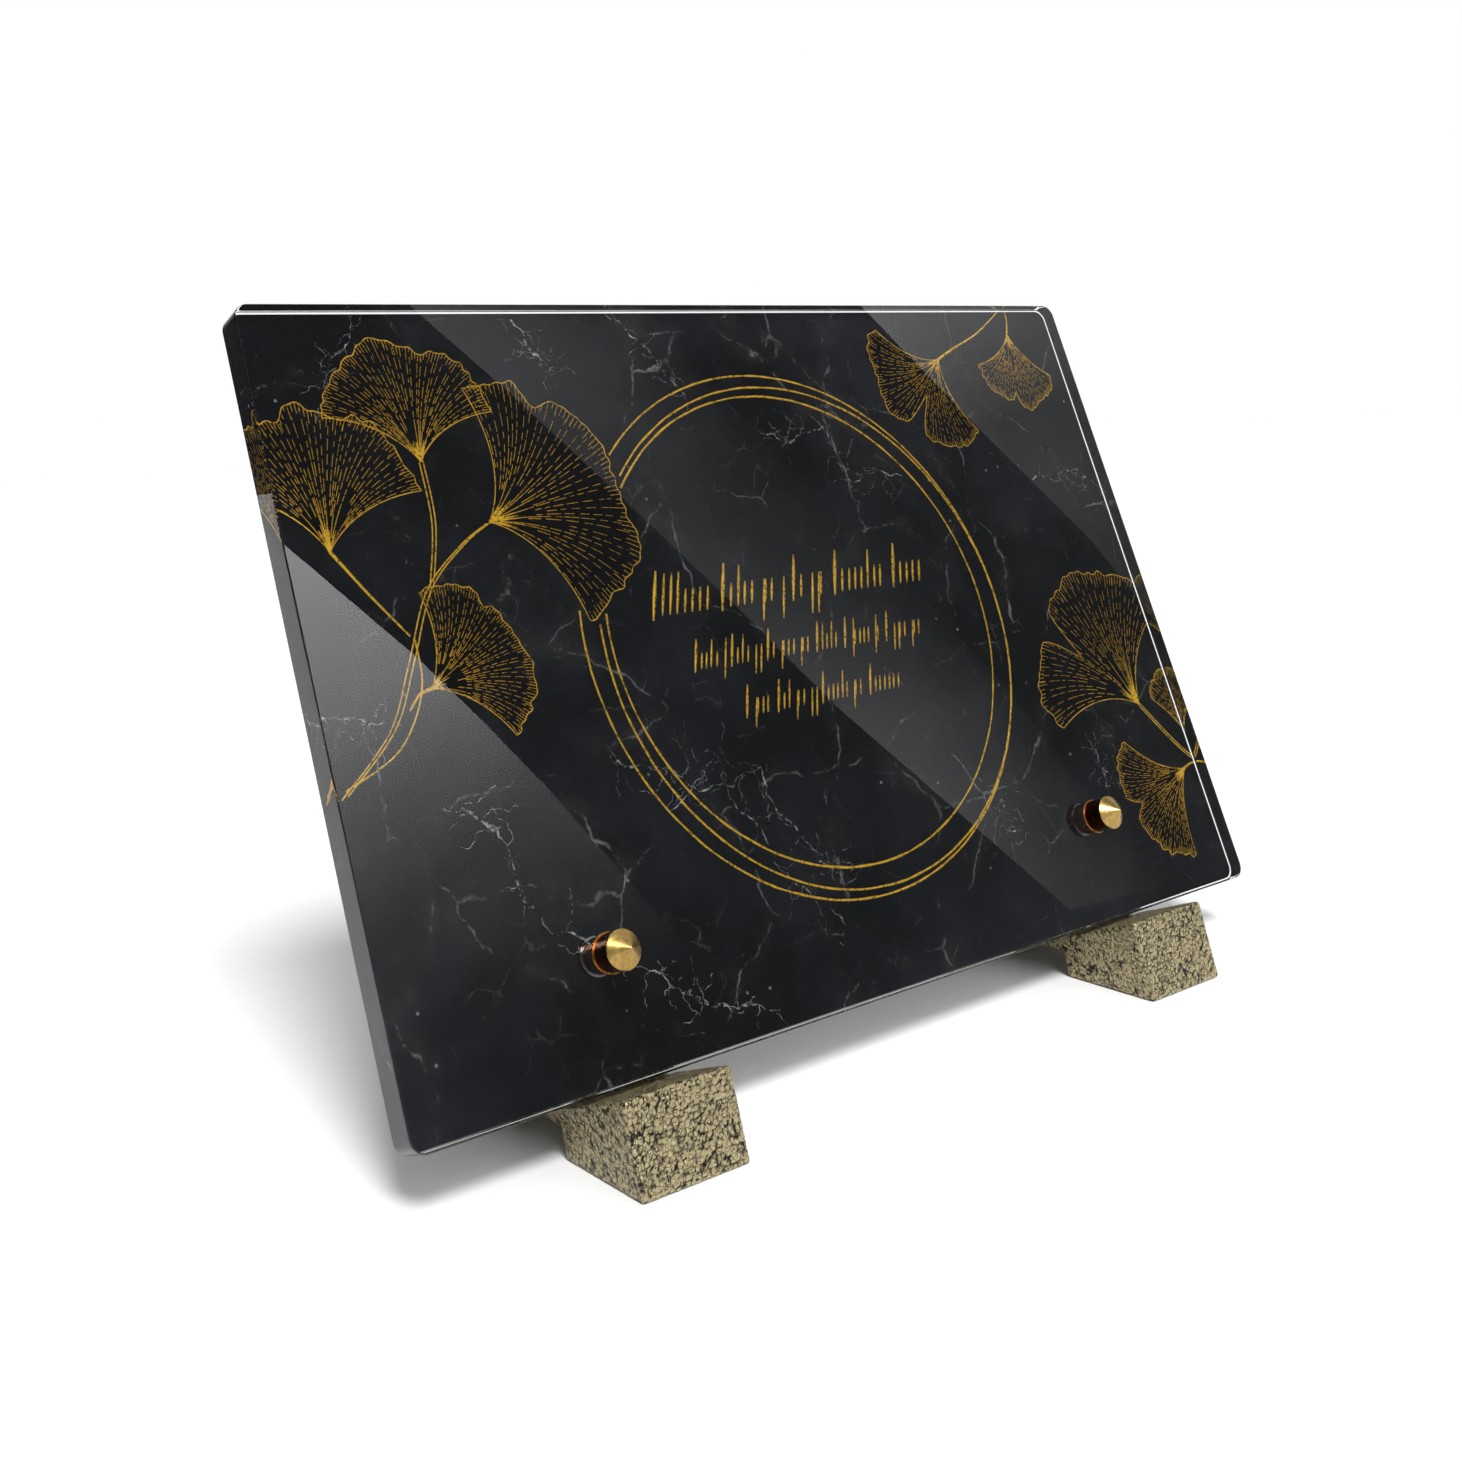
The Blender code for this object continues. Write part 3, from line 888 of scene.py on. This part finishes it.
def stud_profile(length, thread_end):
    """(radius, height above the panel) from the tip down to the thread's end."""
    cone_radius, barrel_radius, collar_radius, thread_radius = 4.9 * MM, 4.7 * MM, 5.0 * MM, 3.0 * MM
    cone_length, rim_height, tip_radius = 4.0 * MM, 0.35 * MM, 0.1 * MM
    cone_base, collar_top, seat = length - cone_length, 0.7 * MM, 0.3 * MM
    points = [(0.0, length)]
    for ring in range(CONE_RINGS):
        for share, groove in ((0.25, 0.0), (0.9, RING_GROOVE)):
            t = (ring + share) / CONE_RINGS
            radius = tip_radius + (cone_radius - 2 * tip_radius) * t
            points.append((radius - groove, length - (cone_length - rim_height) * t - groove))
    points += [(cone_radius - 0.06 * MM, cone_base + 0.30 * MM), (cone_radius, cone_base + 0.2 * MM)]
    points += [(cone_radius, cone_base + 0.05 * MM), (cone_radius - 0.05 * MM, cone_base)]
    points += [(barrel_radius, cone_base)]
    points += [(barrel_radius, collar_top), (collar_radius - 0.08 * MM, collar_top)]
    points += [(collar_radius, collar_top - 0.08 * MM), (collar_radius, seat), (neck_radius, seat)]
    points += [(neck_radius, -(sheet_back + 1.0 * MM)), (thread_radius, -(sheet_back + 1.0 * MM))]
    points += [(thread_radius, thread_end), (0.0, thread_end)]
    return points


def spun_stud(side, material):
    """The profile spun into a closed body on the stud's axis."""
    high, low = [front_face - place for place in span_along(f"stud_{side}", INTO_PANEL)]
    bm = bmesh.new()
    verts = [bm.verts.new((radius, 0, height)) for radius, height in stud_profile(high, low)]
    for a, b in zip(verts, verts[1:]):
        bm.edges.new((a, b))
    bmesh.ops.spin(
        bm, geom=bm.verts[:] + bm.edges[:], cent=(0, 0, 0), axis=(0, 0, 1), angle=2 * math.pi,
        steps=SPIN_STEPS, use_merge=True,
    )
    bmesh.ops.remove_doubles(bm, verts=bm.verts, dist=1e-7)
    x = stud_x if side == "right" else -stud_x
    place = FROM_PANEL @ Matrix.Translation((x, 0, stud_height)) @ Matrix.Rotation(math.pi / 2, 4, "X")
    return finish_piece(
        f"stud_{side}_turned", bm, material, place, (f"stud_{side}",), smooth_angle=28
    )


brass = make_turned_brass()
for side in ("left", "right"):
    spun_stud(side, brass)

# %% [markdown]
# The washers behind the sheet are plain stainless steel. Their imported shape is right, so they stay and
# only get a finish: a light grey metal with faint stamping marks.

# %% Washers
def make_stainless():
    """Stamped stainless steel with faint scratches."""
    material, shader = new_material("stamped_stainless", Metallic=1.0, Roughness=0.26)
    position = node(material, "ShaderNodeTexCoord").outputs["Object"]
    marks = node(material, "ShaderNodeTexNoise", {"Vector": position, "Scale": 1 / (0.8 * MM), "Detail": 4.0})
    steel = blend_colours(material, marks.outputs["Fac"], colour("#B4B5B7"), colour("#DCDDDE"))
    link(material, steel, shader, "Base Color")
    return material


stainless = make_stainless()
for side in ("left", "right"):
    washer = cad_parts[f"washer_{side}"]
    washer.data.materials.clear()
    washer.data.materials.append(stainless)
    print("washer", side, "keeps its packed shape")

# %% [markdown]
# The studio is plain: a pale floor, a bright surround and three glowing cards. A glossy panel shows what
# stands in its mirror direction, so the cards are placed by bouncing the camera's line of sight off
# the panel. There they show as slanting light bands, each with one hard edge and one that fades.

# %% Floor
floor_material, floor_shader = new_material("matt_white_floor", Roughness=0.9)
floor_place = node(floor_material, "ShaderNodeTexCoord").outputs["Object"]
paper = node(floor_material, "ShaderNodeTexNoise", {"Vector": floor_place, "Scale": 3.0})
floor_white = blend_colours(floor_material, paper.outputs["Fac"], colour("#F2F2F2"), colour("#F6F6F6"))
link(floor_material, floor_white, floor_shader, "Base Color")
floor_bm = bmesh.new()
bmesh.ops.create_grid(floor_bm, x_segments=8, y_segments=8, size=8)
floor_mesh = bpy.data.meshes.new("floor")
floor_bm.to_mesh(floor_mesh)
floor_bm.free()
floor_mesh.materials.append(floor_material)
floor = bpy.data.objects.new("floor", floor_mesh)
scene.collection.objects.link(floor)
print("floor 16 m square")

# %% Mirror direction of the camera
panel_middle = FROM_PANEL @ Vector((-24 * MM, 0, 111 * MM))
sight = (panel_middle - camera.matrix_world.translation).normalized()
panel_normal = -INTO_PANEL
mirrored = sight - 2 * sight.dot(panel_normal) * panel_normal
WALL_DISTANCE = 1.5
wall_middle = panel_middle + mirrored * WALL_DISTANCE
wall_x = mirrored.cross(Vector((0, 0, 1))).normalized()
wall_y = wall_x.cross(mirrored)
print("mirror direction", [round(v, 2) for v in mirrored])

# %% Light cards
FLAG_GLOW = 0.14
CARDS = {
    # rows of (hard edge along, up, its glow, soft edge along, up, its glow), in mm on the light wall
    "middle_card": (
        (180, 580, 1.10, -60, 600, 0.24), (157, 488, 1.10, -76, 400, 0.20),
        (102, 329, 0.85, -105, 240, FLAG_GLOW),
        (49, 157, 0.55, -150, 70, FLAG_GLOW), (0, -6, 0.62, -190, -90, 0.18),
        (-46, -172, 1.00, -225, -240, 0.22),
        (-101, -328, 0.95, -245, -386, 0.18), (-160, -498, 0.40, -280, -530, FLAG_GLOW),
    ),
    "corner_card": (
        (-280, 330, 2.6, -640, 330, 1.2), (-306, 219, 2.0, -640, 150, 0.5),
        (-351, 30, 0.60, -600, -20, 0.18),
        (-396, -144, 0.45, -560, -180, FLAG_GLOW), (-418, -300, 0.25, -520, -320, FLAG_GLOW),
    ),
    "wedge_card": (
        (500, 520, 6.0, 800, 460, 6.0), (429, 320, 6.0, 800, 260, 4.5),
        (357, 129, 4.0, 780, 60, 2.4),
        (325, 25, 2.2, 740, -60, 0.9), (295, -86, 0.9, 720, -170, 0.3),
        (269, -206, 0.35, 700, -280, FLAG_GLOW),
        (245, -320, FLAG_GLOW, 690, -380, FLAG_GLOW),
    ),
}
CARD_STEPS = 12


def make_card_light():
    """A card lit by a fading lamp: it glows by the strength stored at each of its points."""
    material = bpy.data.materials.new("lit_card")
    material.use_nodes = True
    material.node_tree.nodes.clear()
    glow = node(material, "ShaderNodeAttribute", attribute_name="glow").outputs["Fac"]
    light = node(material, "ShaderNodeEmission", {"Strength": glow})
    node(material, "ShaderNodeOutputMaterial", {"Surface": light.outputs["Emission"]})
    return material


def light_card(name, rows, material):
    """A card on the wall that the panel mirrors, its glow fading from the hard edge to the soft one."""
    bm = bmesh.new()
    glow_layer = bm.verts.layers.float.new("glow")
    grid = []
    for hard_x, hard_y, hard_glow, soft_x, soft_y, soft_glow in rows:
        line = []
        for step in range(CARD_STEPS + 1):
            t = step / CARD_STEPS
            along, up = hard_x + (soft_x - hard_x) * t, hard_y + (soft_y - hard_y) * t
            vert = bm.verts.new(wall_middle + wall_x * along * MM + wall_y * up * MM)
            vert[glow_layer] = hard_glow + (soft_glow - hard_glow) * t
            line.append(vert)
        grid.append(line)
    for upper, lower in zip(grid, grid[1:]):
        for i in range(CARD_STEPS):
            bm.faces.new((upper[i], upper[i + 1], lower[i + 1], lower[i]))
    mesh = bpy.data.meshes.new(name)
    bm.to_mesh(mesh)
    bm.free()
    mesh.materials.append(material)
    card = bpy.data.objects.new(name, mesh)
    scene.collection.objects.link(card)
    card.visible_camera = False
    card.visible_shadow = False


card_light = make_card_light()
for name, rows in CARDS.items():
    light_card(name, rows, card_light)
print(len(CARDS), "light cards")

# %% [markdown]
# The surround is bright, apart from two soft dark flags. One hangs in the panel's mirror direction: without
# it the glossy front would mirror white everywhere and the black marble would look grey. The other stands
# on the left, where it darkens the sides of the feet and of the panel, as in the photograph.

# %% Surround
SURROUND_GLOW = 0.95
LEFT_DARK = 0.05
LEFT_SIDE = Vector((-0.92, 0.34, 0.12)).normalized()
world = bpy.data.worlds.new("surround")
scene.world = world
world.use_nodes = True
background = world.node_tree.nodes["Background"]
direction = node(world, "ShaderNodeTexCoord").outputs["Generated"]


def dark_flag(aim, edge, core, dark):
    """The surround's glow with a soft dark flag where a direction lies near this one."""
    facing = node(world, "ShaderNodeVectorMath", {0: direction, 1: aim}, operation="DOT_PRODUCT")
    return node(
        world, "ShaderNodeMapRange",
        {
            "Value": facing.outputs["Value"], "From Min": edge, "From Max": core,
            "To Min": SURROUND_GLOW, "To Max": dark,
        },
        interpolation_type="SMOOTHSTEP",
    ).outputs[0]


mirror_flag = dark_flag(mirrored, 0.60, 0.88, FLAG_GLOW)
left_flag = dark_flag(LEFT_SIDE, 0.10, 0.70, LEFT_DARK)
glow = node(world, "ShaderNodeMath", {0: mirror_flag, 1: left_flag}, operation="MINIMUM").outputs[0]
seen = node(world, "ShaderNodeLightPath").outputs["Is Camera Ray"]
backdrop = node(world, "ShaderNodeMath", {0: glow, 1: seen}, operation="MAXIMUM").outputs[0]
world.node_tree.links.new(backdrop, background.inputs["Strength"])
background.inputs["Color"].default_value = (1, 1, 1, 1)
print("surround", SURROUND_GLOW, "with flags", FLAG_GLOW, LEFT_DARK)

# %% [markdown]
# One broad lamp far away makes the soft shadow that runs back and to the left. It is a sun lamp with a
# wide disc, so that the floor is as bright far away as it is near the object.

# %% Key light
KEY_FROM = Vector((-0.24, -0.60, 0.77))
key_data = bpy.data.lights.new("key", "SUN")
key_data.energy = 3.1
key_data.angle = math.radians(16)
key = bpy.data.objects.new("key", key_data)
key.rotation_euler = (-KEY_FROM).to_track_quat("-Z", "Y").to_euler()
scene.collection.objects.link(key)
print("key light from", [round(v, 2) for v in KEY_FROM])
